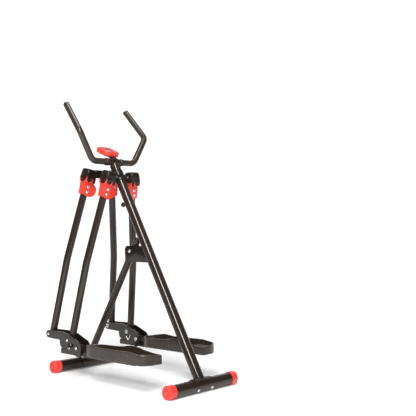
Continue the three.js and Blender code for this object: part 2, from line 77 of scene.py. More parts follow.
# ---- Driving sizes, in metres ----
GAP = 0.0003
TUBE_WALL = 0.002
THIN_WALL = 0.0018
SHARP_ANGLE = radians(38)
BASE_RADIUS = 0.030
CAP_RADIUS = 0.033
CAP_DEPTH = 0.041
CAP_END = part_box("rear_cap_right")[1].x
SADDLE_INNER = BASE_RADIUS + GAP
SADDLE_OUTER = SADDLE_INNER + 0.0045
SADDLE_HALF_LENGTH = 0.058
SADDLE_HALF_ANGLE = 75
SADDLE_BOLT_X = 0.047
REAR_BOLT_ANGLE = 30
FRONT_BOLT_ANGLE = 120
POST_RADIUS = 0.026
POST_LENGTH = 1.246
POST_LEAN = radians(30.7)
POST_ALONG = Vector((0, sin(POST_LEAN), cos(POST_LEAN)))
POST_FRONT = Vector((0, cos(POST_LEAN), -sin(POST_LEAN)))
STRUT_RADIUS = 0.0185
STRUT_ABOVE = 0.072
STRUT_ALONG = (STRUT_PIVOT - FRONT_TUBE).normalized()
ARM_RADIUS = 0.019
ARM_BEND_X = 0.162
ARM_BEND_DROP = 0.453
BAR_RADIUS = 0.0168
TEE_CENTRE = Vector((0, 0.202, 1.125))
TEE_RADIUS = 0.0186
TEE_HALF_LENGTH = 0.056
LINK_INNER = 0.0265
LINK_PLATE = 0.004
PAD_X = 0.197
PAD_HALF_WIDTH = 0.058
PAD_REAR, PAD_FRONT = -0.327, 0.155
PAD_BOTTOM = 0.128
PAD_WALL = 0.005
PAD_PITCH = radians(0.9)
TREAD = 0.147
FRAME_BOTTOM, FRAME_TOP = 0.114, 0.141
FRAME_REAR, FRAME_FRONT = -0.215, 0.365

SIDES = (("left", -1), ("right", 1))


# ---- Materials ----
class Shader:
    """A Principled material with helpers that add procedural detail in object coordinates."""

    def __init__(self, name, roughness, **inputs):
        self.material = bpy.data.materials.new(name)
        self.material.use_nodes = True
        self.nodes = self.material.node_tree.nodes
        self.links = self.material.node_tree.links
        self.bsdf = self.nodes["Principled BSDF"]
        self.bsdf.inputs["Roughness"].default_value = roughness
        for socket, value in inputs.items():
            self.bsdf.inputs[socket.replace("_", " ")].default_value = value
        self.coordinates = self.nodes.new("ShaderNodeTexCoord").outputs["Object"]

    def noise(self, scale, detail, stretch=(1, 1, 1)):
        mapping = self.nodes.new("ShaderNodeMapping")
        mapping.inputs["Scale"].default_value = stretch
        self.links.new(self.coordinates, mapping.inputs["Vector"])
        texture = self.nodes.new("ShaderNodeTexNoise")
        texture.inputs["Scale"].default_value = scale
        texture.inputs["Detail"].default_value = detail
        self.links.new(mapping.outputs["Vector"], texture.inputs["Vector"])
        return texture.outputs["Fac"]

    def ramp(self, source, *stops):
        node = self.nodes.new("ShaderNodeValToRGB")
        elements = node.color_ramp.elements
        for element, (place, colour) in zip(elements, (stops[0], stops[-1])):
            element.position = place
            element.color = (*colour, 1)
        for place, colour in stops[1:-1]:
            elements.new(place).color = (*colour, 1)
        self.links.new(source, node.inputs["Fac"])
        return node.outputs["Color"]

    def colour(self, source, *stops):
        self.links.new(self.ramp(source, *stops), self.bsdf.inputs["Base Color"])

    def roughen(self, source, low, high):
        node = self.nodes.new("ShaderNodeMapRange")
        node.inputs["From Min"].default_value = 0.3
        node.inputs["From Max"].default_value = 0.7
        node.inputs["To Min"].default_value = low
        node.inputs["To Max"].default_value = high
        self.links.new(source, node.inputs["Value"])
        self.links.new(node.outputs["Result"], self.bsdf.inputs["Roughness"])

    def bump(self, source, strength, distance):
        node = self.nodes.new("ShaderNodeBump")
        node.inputs["Strength"].default_value = strength
        node.inputs["Distance"].default_value = distance
        self.links.new(source, node.inputs["Height"])
        previous = self.bsdf.inputs["Normal"].links
        if previous:
            self.links.new(previous[0].from_socket, node.inputs["Normal"])
        self.links.new(node.outputs["Normal"], self.bsdf.inputs["Normal"])


def tint(colour, factor):
    return tuple(min(1.0, part * factor) for part in colour)


def mottled(shader, colour, scale, spread, stretch=(1, 1, 1)):
    """Colour that drifts a little over the surface, with a few lighter rubbed specks."""
    dark, light, rubbed = tint(colour, 1 - spread), tint(colour, 1 + spread), tint(colour, 1 + 3 * spread)
    shader.colour(shader.noise(scale, 6.0, stretch), (0.3, dark), (0.62, light), (0.78, rubbed))


def painted(name, colour, roughness, coat_roughness):
    """Gloss powder coat: fine orange peel, faint handling haze and light scuffs along the tube."""
    shader = Shader(name, roughness, Specular_IOR_Level=0.08, Coat_Weight=0.72, Coat_Roughness=coat_roughness)
    mottled(shader, colour, 24.0, 0.09)
    shader.roughen(shader.noise(9.0, 5.0), roughness - 0.05, roughness + 0.09)
    shader.bump(shader.noise(420.0, 2.0), 0.22, 0.0003)
    shader.bump(shader.noise(60.0, 8.0, (1, 1, 0.08)), 0.08, 0.0003)
    return shader.material


def moulded(name, colour, roughness, grain, relief, spread=0.08, specular=0.5):
    """Injection-moulded plastic: spark-eroded grain, slight flow marks and uneven sheen."""
    shader = Shader(name, roughness, Specular_IOR_Level=specular)
    mottled(shader, colour, 14.0, spread, (1, 1, 0.45))
    shader.roughen(shader.noise(30.0, 4.0), roughness - 0.07, roughness + 0.08)
    shader.bump(shader.noise(grain, 3.0), relief, 0.0004)
    shader.bump(shader.noise(26.0, 2.0), 0.1, 0.0008)
    return shader.material


def plated(name, colour, roughness):
    """Zinc plate: turned lines round the part and a slightly cloudy reflection."""
    shader = Shader(name, roughness, Metallic=1.0)
    mottled(shader, colour, 90.0, 0.08)
    shader.roughen(shader.noise(160.0, 5.0), roughness - 0.08, roughness + 0.12)
    shader.bump(shader.noise(700.0, 2.0, (6, 1, 1)), 0.12, 0.0002)
    return shader.material


PAINT = painted("gloss_black_paint", (0.021, 0.0132, 0.0092), 0.4, 0.06)
# A darker copy of the gloss black paint for the link plates, their trim and the fold bracket: painted shade
# for flat faces that turn away from the lights.
SHADED_LINK_PAINT = painted("link_paint_with_painted_shade", (0.010, 0.0068, 0.0052), 0.3, 0.12)
GRIP_PAINT = painted("satin_black_paint", (0.032, 0.024, 0.019), 0.45, 0.2)
BLACK = moulded("black_moulding", (0.014, 0.0098, 0.0080), 0.24, grain=700.0, relief=0.1, specular=0.3)
PAD_PLASTIC = moulded("pad_moulding", (0.026, 0.0185, 0.014), 0.3, grain=1100.0, relief=0.2)
TREAD_PLASTIC = moulded("tread_moulding", (0.070, 0.060, 0.052), 0.32, grain=1100.0, relief=0.6)
# A much lighter copy of the tray plastic for the bead along the rim: a painted highlight where the rim
# catches the light.
RIM_HIGHLIGHT_PLASTIC = moulded("rim_painted_highlight", (0.13, 0.115, 0.10), 0.3, grain=1100.0, relief=0.1)
RED = moulded("red_moulding", (0.77, 0.048, 0.030), 0.34, grain=1000.0, relief=0.3, spread=0.06)
STEEL = plated("zinc_plate", (0.70, 0.70, 0.69), 0.26)
SPRING = plated("spring_wire", (0.80, 0.72, 0.58), 0.3)
DISPLAY = moulded("display_window", (0.045, 0.05, 0.042), 0.4, grain=60.0, relief=0.02, specular=0.12)
BEZEL = moulded("display_bezel", (0.35, 0.018, 0.012), 0.3, grain=1200.0, relief=0.2)
BLUE = moulded("blue_button", (0.035, 0.085, 0.45), 0.42, grain=1200.0, relief=0.3)
DIGITS = moulded("display_digits", (0.012, 0.014, 0.012), 0.5, grain=200.0, relief=0.05, specular=0.1)


# ---- Mesh tools ----
def turn(steps):
    return [2 * pi * k / steps for k in range(steps)]


def arc(u, v, radius, start, end, steps):
    """Points of a circular arc, from start to end in degrees."""
    angles = [radians(start + (end - start) * k / steps) for k in range(steps + 1)]
    return [(u + radius * cos(a), v + radius * sin(a)) for a in angles]


def strip(bm, first, second):
    """Joins two closed rings of vertices with a band of faces."""
    count = len(first)
    for k in range(count):
        after = (k + 1) % count
        bm.faces.new((first[k], first[after], second[after], second[k]))


def loft(rings, closed_loop=False):
    """A skin over rings of points with equal counts, capped at both ends unless it closes on itself."""
    bm = bmesh.new()
    made = [[bm.verts.new(point) for point in ring] for ring in rings]
    for first, second in zip(made, made[1:]):
        strip(bm, first, second)
    if closed_loop:
        strip(bm, made[-1], made[0])
    else:
        bm.faces.new(made[0])
        bm.faces.new(made[-1])
    bmesh.ops.recalc_face_normals(bm, faces=bm.faces)
    return bm


def loft_open(rings, flip=False):
    """A skin over rings of points whose last ring is closed with one face."""
    bm = bmesh.new()
    made = [[bm.verts.new(point) for point in ring] for ring in rings]
    for first, second in zip(made, made[1:]):
        strip(bm, first, second)
    bm.faces.new(made[-1])
    if flip:
        bmesh.ops.reverse_faces(bm, faces=bm.faces)
    return bm


def circle(centre, across, up, radius, sides):
    return [centre + (across * cos(a) + up * sin(a)) * radius for a in turn(sides)]


def tube(stations, radius, wall=0.0, sides=48):
    """A round tube, or a solid rod when it has no wall, along (point, heading) stations."""
    across = stations[0][1].orthogonal().normalized()
    outer, inner = [], []
    for point, heading in stations:
        across = (across - heading * across.dot(heading)).normalized()
        up = heading.cross(across)
        outer.append(circle(point, across, up, radius, sides))
        inner.append(circle(point, across, up, radius - wall, sides))
    if wall:
        return loft(outer + inner[::-1], closed_loop=True)
    return loft(outer)


def straight(start, end):
    heading = (end - start).normalized()
    return [(start, heading), (end, heading)]


def bent(corners, bend_radius, steps):
    """Stations along straight runs joined by round bends."""
    stations = [(corners[0], (corners[1] - corners[0]).normalized())]
    for before, corner, after in zip(corners, corners[1:], corners[2:]):
        into = (corner - before).normalized()
        out = (after - corner).normalized()
        angle = into.angle(out)
        axis = into.cross(out).normalized()
        start = corner - into * bend_radius * tan(angle / 2)
        centre = start + axis.cross(into) * bend_radius
        for k in range(steps + 1):
            swing = Matrix.Rotation(angle * k / steps, 3, axis)
            stations.append((centre + swing @ (start - centre), swing @ into))
    stations.append((corners[-1], (corners[-1] - corners[-2]).normalized()))
    return stations


def lathe(profile, start, heading, sides=40, flutes=0, flute_depth=0.0):
    """Turns (radius, distance) pairs about a line. A profile that starts and ends at radius 0 is solid."""
    heading = heading.normalized()
    across = heading.orthogonal().normalized()
    up = heading.cross(across)
    bm = bmesh.new()
    rings = []
    for radius, distance in profile:
        centre = start + heading * distance
        if radius < 1e-6:
            rings.append([bm.verts.new(centre)])
            continue
        ring = []
        for a in turn(sides):
            reach = radius * (1 - flute_depth * (0.5 - 0.5 * cos(flutes * a)))
            ring.append(bm.verts.new(centre + (across * cos(a) + up * sin(a)) * reach))
        rings.append(ring)
    for first, second in zip(rings, rings[1:]):
        if len(first) == 1 or len(second) == 1:
            pole, ring = (first, second) if len(first) == 1 else (second, first)
            for k in range(sides):
                bm.faces.new((pole[0], ring[k], ring[(k + 1) % sides]))
        else:
            strip(bm, first, second)
    bmesh.ops.recalc_face_normals(bm, faces=bm.faces)
    return bm


def prism(outline, axis, low, high):
    """A flat outline made solid. Its points are (y, z) along X, (x, z) along Y and (x, y) along Z."""
    place = {
        "X": lambda u, v, w: Vector((w, u, v)),
        "Y": lambda u, v, w: Vector((u, w, v)),
        "Z": lambda u, v, w: Vector((u, v, w)),
    }[axis]
    return loft([[place(u, v, w) for u, v in outline] for w in (low, high)])


def rounded_box(half_u, half_v, corner, centre=(0, 0), steps=6):
    u, v = centre
    return (
        arc(u + half_u - corner, v + half_v - corner, corner, 0, 90, steps)
        + arc(u - half_u + corner, v + half_v - corner, corner, 90, 180, steps)
        + arc(u - half_u + corner, v - half_v + corner, corner, 180, 270, steps)
        + arc(u + half_u - corner, v - half_v + corner, corner, 270, 360, steps)
    )


def merged(*parts):
    """One bmesh that holds several closed shapes."""
    whole = bmesh.new()
    for part in parts:
        mesh = bpy.data.meshes.new("part")
        part.to_mesh(mesh)
        part.free()
        whole.from_mesh(mesh)
        bpy.data.meshes.remove(mesh)
    return whole


def moved(bm, matrix):
    bmesh.ops.transform(bm, matrix=matrix, verts=bm.verts)
    return bm


def soften(obj, width):
    """Rounds the hard edges, so that they catch the light."""
    bevel = obj.modifiers.new("rounded edges", "BEVEL")
    bevel.width = width
    bevel.segments = 3
    bevel.limit_method = "ANGLE"
    bevel.angle_limit = SHARP_ANGLE
    bevel.harden_normals = True


def piece(name, bm, body, material, sign=1, bevel=0.0, hides=()):
    """Makes a piece from a bmesh drawn for the right side and puts it on its body."""
    if sign < 0:
        bmesh.ops.scale(bm, vec=(-1, 1, 1), verts=bm.verts)
        bmesh.ops.reverse_faces(bm, faces=bm.faces)
    mesh = bpy.data.meshes.new(name)
    bm.to_mesh(mesh)
    bm.free()
    mesh.materials.append(material)
    mesh.shade_smooth()
    obj = bpy.data.objects.new(name, mesh)
    bpy.context.scene.collection.objects.link(obj)
    if bevel:
        soften(obj, bevel)
    else:
        mesh.set_sharp_from_angle(angle=SHARP_ANGLE)
    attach(obj, body)
    if hides:
        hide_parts(*hides)
    return obj


def smooth_group():
    """A node group that shades a kept CAD mesh smooth without touching the mesh."""
    group = bpy.data.node_groups.new("shade smooth", "GeometryNodeTree")
    group.interface.new_socket("Geometry", in_out="INPUT", socket_type="NodeSocketGeometry")
    group.interface.new_socket("Geometry", in_out="OUTPUT", socket_type="NodeSocketGeometry")
    source = group.nodes.new("NodeGroupInput")
    smooth = group.nodes.new("GeometryNodeSetShadeSmooth")
    sink = group.nodes.new("NodeGroupOutput")
    group.links.new(source.outputs[0], smooth.inputs["Geometry"])
    group.links.new(smooth.outputs[0], sink.inputs[0])
    return group


SMOOTH = smooth_group()


def keep(node, material, bevel):
    """Keeps a CAD node as it is, with rounded edges and a finished material."""
    obj = frame["nodes"][node]
    obj.material_slots[0].material = material
    weld = obj.modifiers.new("weld", "WELD")
    weld.merge_threshold = 0.00001
    obj.modifiers.new("smooth", "NODES").node_group = SMOOTH
    soften(obj, bevel)


# ---- Fasteners ----
def dome_head(radius, height):
    return [(0, -height), (0.45 * radius, -0.93 * height), (0.8 * radius, -0.66 * height),
            (0.97 * radius, -0.28 * height), (radius, 0), (0, 0)]


def through_bolt(start, end, shank, head, nut, washer):
    """A domed bolt head at start, a shank, a washer at each end and a hexagon nut past the end."""
    heading = (end - start).normalized()
    length = (end - start).length
    socket = [(0, -0.45 * head), (0.42 * head, -0.45 * head), (0.47 * head, -0.50 * head),
              (0.8 * head, -0.36 * head), (0.97 * head, -0.15 * head), (head, 0), (0, 0)]
    hexagon = [(0, 0), (0.86 * nut, 0), (nut, 0.0012), (nut, 0.72 * nut), (0.8 * nut, 0.84 * nut),
               (0, 0.84 * nut)]
    thread = [(0, 0), (0.6 * nut, 0), (0.6 * nut, nut), (0.35 * nut, 1.15 * nut), (0, 1.15 * nut)]
    disc = [(0, -0.0004), (washer, -0.0004), (washer, 0.001), (0, 0.001)]
    return merged(
        lathe(socket, start, heading, 32),
        lathe([(0, 0), (shank, 0), (shank, length), (0, length)], start, heading, 20),
        lathe(hexagon, end, heading, 6),
        lathe(thread, end, heading, 20),
        lathe(disc, start, heading, 32),
        lathe(disc, end, -heading, 32),
    )


def bead_loop(points, radius, heading_hint, ripple=0.16):
    """A round bead along a closed loop of points, rippled like a weld unless told otherwise."""
    count = len(points)
    rings = []
    for k, point in enumerate(points):
        heading = (points[(k + 1) % count] - points[k - 1]).normalized()
        across = heading.cross(heading_hint).normalized()
        up = across.cross(heading)
        size = radius * (1 + ripple * sin(2 * pi * k / 5))
        rings.append(circle(point, across, up, size, 8))
    return loft(rings, closed_loop=True)


# ---- Floor tubes ----
def end_cap(tube_centre):
    """A cup with a rolled rim, ring grooves and small ridges on its face, flat where it stands."""
    r, depth = CAP_RADIUS, CAP_DEPTH
    profile = [
        (0, 0.0012), (0.009, 0.0012), (0.0098, 0.0004), (0.0108, 0.0004), (0.0116, 0.0020), (0.0208, 0.0020),
        (0.0216, 0.0002), (0.0236, 0.0002), (0.0244, 0.0014), (r - 0.0054, 0.0014), (r - 0.0022, 0.0021),
        (r - 0.0006, 0.0044), (r - 0.0002, 0.0075), (r - 0.0004, depth - 0.0045), (r, depth - 0.004),
        (r, depth - 0.0008), (r - 0.0007, depth), (BASE_RADIUS + 0.0004, depth),
        (BASE_RADIUS + 0.0004, 0.004), (0, 0.004),
    ]
    bm = lathe(profile, Vector((CAP_END, tube_centre.y, tube_centre.z)), Vector((-1, 0, 0)), 64)
    for vert in bm.verts:
        vert.co.z = max(vert.co.z, 0.0)
    centre = Vector((0, tube_centre.y, tube_centre.z))
    ridges = []
    for a in turn(14):
        radial = Vector((0, cos(a), sin(a)))
        across = Vector((0, -sin(a), cos(a))) * 0.0008
        corners = [centre + radial * reach + across * way
                   for reach, way in ((0.0122, -1), (0.0202, -1), (0.0202, 1), (0.0122, 1))]
        ridges.append(prism([(c.y, c.z) for c in corners], "X", CAP_END - 0.0025, CAP_END - 0.0002))
    return merged(bm, *ridges)


def base_bolts(end, tube_centre, bolt_angle, body):
    across = Vector((0, cos(radians(bolt_angle)), sin(radians(bolt_angle))))
    for side, sign in SIDES:
        centre = tube_centre.copy()
        centre.x = SADDLE_BOLT_X
        head = centre - across * (BASE_RADIUS + GAP)
        nut = centre + across * (SADDLE_OUTER + GAP)
        bolt = through_bolt(head, nut, 0.004, 0.0072, 0.0068, washer=0.0082)
        for vert in bolt.verts:
            vert.co.z = max(vert.co.z, 0.0002)
        piece(f"{end}_base_bolt_{side}", bolt, body, STEEL, sign, hides=[f"{end}_bolt_{side}"])


def saddle(tube_centre, leg_angle):
    y, z = tube_centre.y, tube_centre.z
    start, end = leg_angle - SADDLE_HALF_ANGLE, leg_angle + SADDLE_HALF_ANGLE
    outline = arc(y, z, SADDLE_OUTER, start, end, 32) + arc(y, z, SADDLE_INNER, end, start, 32)
    return prism(outline, "X", -SADDLE_HALF_LENGTH, SADDLE_HALF_LENGTH)


def foot_weld(tube_centre, along, leg_radius):
    """The bead where a round leg meets its saddle."""
    normal = along.cross(Vector((1, 0, 0)))
    points = []
    for a in turn(70):
        offset = leg_radius * sin(a)
        rise = sqrt(SADDLE_OUTER ** 2 - offset ** 2)
        points.append(tube_centre + Vector((leg_radius * cos(a), 0, 0)) + normal * offset + along * rise)
    return bead_loop(points, 0.0034, along)


def floor_end(end, tube_centre, bolt_angle, body):
    reach = CAP_END - 0.0045
    y, z = tube_centre.y, tube_centre.z
    base = tube(straight(Vector((-reach, y, z)), Vector((reach, y, z))), BASE_RADIUS, TUBE_WALL, 64)
    piece(f"{end}_base_tube", base, body, PAINT, hides=[f"{end}_floor_tube"])
    for side, sign in SIDES:
        piece(f"{end}_base_cap_{side}", end_cap(tube_centre), body, RED, sign, hides=[f"{end}_cap_{side}"])
    base_bolts(end, tube_centre, bolt_angle, body)


def leg_foot(name, tube_centre, along, radius, body):
    lean = 180 / pi * atan2(along.z, along.y)
    piece(f"{name}_saddle", saddle(tube_centre, lean), body, PAINT, bevel=0.0009)
    piece(f"{name}_weld", foot_weld(tube_centre, along, radius), body, PAINT)


# ---- Post and strut ----
def post_point(distance):
    return REAR_TUBE + POST_ALONG * distance


def main_post():
    leg = tube(straight(post_point(0.030), post_point(POST_LENGTH)), POST_RADIUS, TUBE_WALL, 64)
    piece("post_tube", leg, "frame", PAINT, hides=["main_post"])
    leg_foot("post", REAR_TUBE, POST_ALONG, POST_RADIUS, "frame")
    root = post_point(1.031) + POST_FRONT * (POST_RADIUS + GAP)
    collar = lathe([(0, 0), (0.0085, 0), (0.0085, 0.003), (0.006, 0.0045), (0.006, 0.012), (0, 0.012)],
                   root, POST_FRONT, 32)
    grip = [(0, 0.0105), (0.008, 0.0105), (0.0122, 0.0132), (0.013, 0.017), (0.013, 0.0235), (0.0115, 0.0275),
            (0.006, 0.0298), (0, 0.030)]
    knob = lathe(grip, root, POST_FRONT, 60, flutes=6, flute_depth=0.16)
    piece("post_knob_grip", merged(collar, knob), "frame", BLACK, hides=["post_knob"])


def front_strut():
    top = STRUT_PIVOT + STRUT_ALONG * STRUT_ABOVE
    leg = tube(straight(FRONT_TUBE + STRUT_ALONG * 0.030, top), STRUT_RADIUS, THIN_WALL, 56)
    piece("strut_tube", leg, "strut", PAINT, hides=["front_strut"])
    leg_foot("strut", FRONT_TUBE, STRUT_ALONG, STRUT_RADIUS, "strut")
    r = STRUT_RADIUS
    plug = [(0, -0.012), (r - 0.002, -0.012), (r - 0.002, 0.0003), (r - 0.0012, 0.0004), (r - 0.0012, 0.002),
            (r - 0.0026, 0.0038), (r - 0.006, 0.0049), (0, 0.005)]
    piece("strut_top_plug", lathe(plug, top, STRUT_ALONG, 56), "strut", BLACK, hides=["strut_end_plug"])


def fold_bracket():
    # The fold bracket wears the darker link paint, which is painted shade.
    keep("fold_bracket", SHADED_LINK_PAINT, 0.0012)
    reach = Vector((0.0243, 0, 0))
    bolt = through_bolt(STRUT_PIVOT - reach, STRUT_PIVOT + reach, 0.005, 0.0078, 0.0078, washer=0.0098)
    piece("strut_bolt", bolt, "frame", STEEL, hides=["strut_pivot_bolt"])


# ---- Head ----
def head():
    keep("head_frame", BLACK, 0.0022)
    ring = [(POST_RADIUS + 0.0002, 0), (0.0282, 0), (0.0292, 0.0012), (0.0292, 0.0608), (0.0282, 0.062),
            (POST_RADIUS + 0.0002, 0.062), (POST_RADIUS + 0.0002, 0)]
    piece("head_collar", lathe(ring, post_point(1.146), POST_ALONG, 64), "frame", BLACK)
    for side, _ in SIDES:
        for end in ("front", "rear"):
            keep(f"{end}_axle_{side}", STEEL, 0.0005)


# ---- Arms, with the knuckle and bracket at the top of each ----
def tongue(centre, half_width, low, high):
    return arc(centre, low + half_width, half_width, 180, 360, 18) + [(centre + half_width, high),
                                                                     (centre - half_width, high)]


def bulge(radius):
    """A low dome that swells from a moulded face."""
    return [(0, -0.003), (radius, -0.003), (0.97 * radius, 0.0002), (0.8 * radius, 0.0014),
            (0.5 * radius, 0.0024), (0.25 * radius, 0.0029), (0, 0.0030)]


def knuckle(matrix):
    """A rounded block with bulging tongues that hang on its faces."""
    core = []
    crown = ((-0.027, 0), (0.015, 0), (0.020, 0.0012), (0.0238, 0.004), (0.0262, 0.0082), (0.027, 0.0125))
    for height, inset in crown:
        outline = rounded_box(0.031 - inset, 0.0315 - inset, 0.013 - 0.7 * inset, (0.004, -0.0035))
        core.append([Vector((u, v, height)) for u, v in outline])
    parts = [loft(core)]
    for centre, half in ((0.0145, 0.0175), (-0.017, 0.009)):
        outline = tongue(centre, half, -0.044, 0.010 - half / 4)
        parts.append(prism(outline, "Y", 0.0215, 0.0282))
        parts.append(prism(outline, "Y", -0.0355, -0.0285))
        for way, face in ((1, 0.0280), (-1, 0.0353)):
            root = Vector((centre, way * face, -0.044 + half * 1.25))
            parts.append(lathe(bulge(0.86 * half), root, Vector((0, way, 0)), 40))
    parts.append(prism(tongue(-0.0035, 0.021, -0.046, 0.006), "X", 0.0275, 0.0352))
    parts.append(prism(tongue(-0.0035, 0.015, -0.046, 0.006), "X", -0.0304, -0.0225))
    for place in (Vector((0.0350, -0.0035, -0.020)), Vector((0.0350, -0.0035, 0.004))):
        parts.append(lathe(bulge(0.0165), place, Vector((1, 0, 0)), 40))
    bm = moved(merged(*parts), matrix)
    inner_face = 0.0515
    for vert in bm.verts:
        vert.co.x = max(vert.co.x, inner_face)
    return bm


def bracket(matrix, end):
    """The red clamp below a knuckle: a deep rim under the tongues and a lobe towards the machine."""
    if end == "front":
        lobe = arc(-0.021, -0.083, 0.038, -70, -215, 30)
    else:
        lobe = [(-0.024, -0.119), (-0.050, -0.101), (-0.058, -0.092), (-0.058, -0.066), (-0.050, -0.056)]
    outline = [(0.030, -0.0275), (0.021, -0.112), (-0.008, -0.121), *lobe, (-0.030, -0.045),
               (-0.030, -0.0275)]
    rim = [(-0.029, -0.046), (-0.029, -0.0275), (0.033, -0.0275), (0.032, -0.046)]
    parts = [prism(outline, "Y", -0.022, 0.022), prism(rim, "Y", -0.034, 0.027)]
    peaks = (
        [(-0.0285, -0.029), (-0.0280, -0.017), (-0.0235, -0.029)],
        [(-0.012, -0.029), (-0.0065, -0.021), (-0.002, -0.029)],
        [(0.0265, -0.029), (0.0345, -0.017), (0.0348, -0.029)],
    )
    for peak in peaks:
        for low, high in ((-0.0352, -0.031), (0.024, 0.0282)):
            parts.append(prism(peak, "Y", low, high))
    return moved(merged(*parts), matrix)


def arm_bolts(matrix):
    parts = []
    for drop in (-0.070, -0.097):
        parts.append(through_bolt(Vector((0, -0.0224, drop)), Vector((0, 0.0244, drop)), 0.004, 0.007, 0.006,
                                  washer=0.0084))
    parts.append(prism(rounded_box(0.007, 0.0205, 0.004, (0, -0.0835)), "Y", 0.0222, 0.0242))
    return moved(merged(*parts), matrix)


def arm(side, sign, end):
    top_pivot = ARM_TOPS[end]
    foot = FRONT_FOOT if end == "front" else REAR_FOOT
    share = ARM_BEND_DROP / (top_pivot.z - foot.z)
    bend = Vector((ARM_BEND_X, top_pivot.y + (foot.y - top_pivot.y) * share, top_pivot.z - ARM_BEND_DROP))
    up = (top_pivot - bend).normalized()
    down = (foot - bend).normalized()
    across = (Vector((1, 0, 0)) - up * up.x).normalized()
    matrix = Matrix.Translation(top_pivot) @ Matrix((across, up.cross(across), up)).transposed().to_4x4()
    body = f"{end}_leg_{side}"
    tip = foot + down * 0.007
    leg = tube(bent([top_pivot - up * 0.050, bend, tip], 0.300, 12), ARM_RADIUS, THIN_WALL)
    piece(f"{end}_arm_tube_{side}", leg, body, PAINT, sign, hides=[f"{end}_arm_{side}"])
    inner = ARM_RADIUS - THIN_WALL
    plug = [(0, -0.010), (inner, -0.010), (inner, 0.0002), (ARM_RADIUS - 0.0006, 0.0002),
            (ARM_RADIUS - 0.0014, 0.0016), (inner - 0.004, 0.0022), (0, 0.0022)]
    piece(f"{end}_arm_plug_{side}", lathe(plug, tip, down, 40), body, BLACK, sign)
    piece(f"{end}_joint_block_{side}", knuckle(matrix), body, BLACK, sign, 0.0022, [f"{end}_knuckle_{side}"])
    piece(f"{end}_clamp_{side}", bracket(matrix, end), body, RED, sign, 0.0016, [f"{end}_arm_bracket_{side}"])
    bolts = f"{end}_arm_bolts_{side}"
    piece(f"{end}_clamp_bolts_{side}", arm_bolts(matrix), body, STEEL, sign, hides=[bolts])


# ---- Foot linkage ----
def quadratic(start, control, end, steps=12):
    points = []
    for k in range(1, steps + 1):
        t = k / steps
        weights = ((1 - t) ** 2, 2 * t * (1 - t), t ** 2)
        points.append(tuple(sum(w * p[i] for w, p in zip(weights, (start, control, end))) for i in (0, 1)))
    return points


def link_outline():
    y, z = FRONT_FOOT.y, FRONT_FOOT.z
    crest = (y - 0.108, z + 0.023)
    outline = arc(y, z, 0.020, -90, 90, 18) + [crest]
    outline += quadratic(crest, (y - 0.160, z + 0.022), (y - 0.200, z + 0.007))
    outline += [(FOLD.y - 0.006, FOLD.z + 0.041)]
    outline += arc(FOLD.y, FOLD.z, 0.041, 98, 270, 32)
    outline += [(y - 0.155, FOLD.z - 0.011)]
    outline += arc(y - 0.137, z - 0.028, 0.037, -120, 10, 24)
    outline += [(y - 0.010, z - 0.020)]
    return outline


def link_bolt(centre):
    reach = Vector((LINK_INNER + LINK_PLATE + GAP, 0, 0))
    return through_bolt(centre + reach, centre - reach, 0.005, 0.0078, 0.0068, washer=0.0105)


def link_trim():
    """Raised bosses round the bolts and a pressed bead along the upper edge of the outer link plate."""
    face = FOLD.x + LINK_INNER + LINK_PLATE
    boss = [(0, -0.001), (0.0165, -0.001), (0.016, 0.0007), (0.0148, 0.0012), (0.0128, 0.0009), (0, 0.0009)]
    parts = []
    for place in (FRONT_FOOT, REAR_FOOT, FOLD):
        parts.append(lathe(boss, Vector((face, place.y, place.z)), Vector((1, 0, 0)), 40))
    y, z = FRONT_FOOT.y, FRONT_FOOT.z
    bead = [(y - 0.022, z + 0.0125), (y - 0.106, z + 0.0165), (y - 0.150, z + 0.014), (y - 0.192, z + 0.001),
            (FOLD.y - 0.002, FOLD.z + 0.034)]
    parts.append(tube(bent([Vector((face, u, v)) for u, v in bead], 0.020, 6), 0.0016, sides=12))
    return merged(*parts)


def spring_clip(face_x):
    """A wire clip bent to a V round the lock pin, between the rear link bolt and the fold bolt."""
    corners = [
        Vector((face_x, FOLD.y + 0.074, FOLD.z + 0.008)),
        Vector((face_x, FOLD.y + 0.058, FOLD.z - 0.014)),
        Vector((face_x, FOLD.y + 0.040, FOLD.z + 0.020)),
    ]
    return tube(bent(corners, 0.004, 8), 0.0023, sides=12)


def lock_pin():
    place = middle("lock_pin_right")
    along = Vector((1, 0, 0))
    shaft = lathe([(0, 0), (0.0034, 0), (0.004, 0.001), (0.004, 0.050), (0, 0.050)],
                  Vector((FOLD.x - 0.013, place.y, place.z)), along, 24)
    grip = [(0, 0), (0.0078, 0), (0.009, 0.0016), (0.0078, 0.003), (0.0078, 0.0042), (0.0092, 0.0056),
            (0.0094, 0.0115), (0.007, 0.0148), (0, 0.015)]
    knob = lathe(grip, Vector((FOLD.x + 0.033, place.y, place.z)), along, 48, flutes=12, flute_depth=0.06)
    return merged(shaft, knob)


def pitched(bm):
    """Tilts a piece drawn level about the fold bolt, a little heel-high."""
    place = Matrix.Translation(FOLD)
    return moved(bm, place @ Matrix.Rotation(-PAD_PITCH, 4, "X") @ place.inverted())


def pad_frame():
    """The rectangular tube under a foot pad, and its hinge lug."""
    x = FOLD.x
    half_height = (FRAME_TOP - FRAME_BOTTOM) / 2
    centre = (x, (FRAME_TOP + FRAME_BOTTOM) / 2)
    outer = (0.017, 0.004, (FRAME_REAR, FRAME_FRONT))
    inner = (0.015, 0.002, (FRAME_FRONT, FRAME_REAR))
    rings = []
    for half, corner, ends in (outer, inner):
        shrink = 0.017 - half
        outline = rounded_box(half, half_height - shrink, corner, centre)
        for y in ends:
            rings.append([Vector((u, y, v)) for u, v in outline])
    section = loft(rings, closed_loop=True)
    top = FRAME_TOP - 0.001
    y = FOLD.y
    lug = [(y - 0.026, top), (y + 0.062, top), (y + 0.062, 0.152), (y + 0.054, 0.159), (y + 0.030, 0.159),
           (y + 0.022, 0.174), (y - 0.014, 0.174), (y - 0.024, 0.164)]
    return section, prism(lug, "X", x - 0.013, x + 0.013)


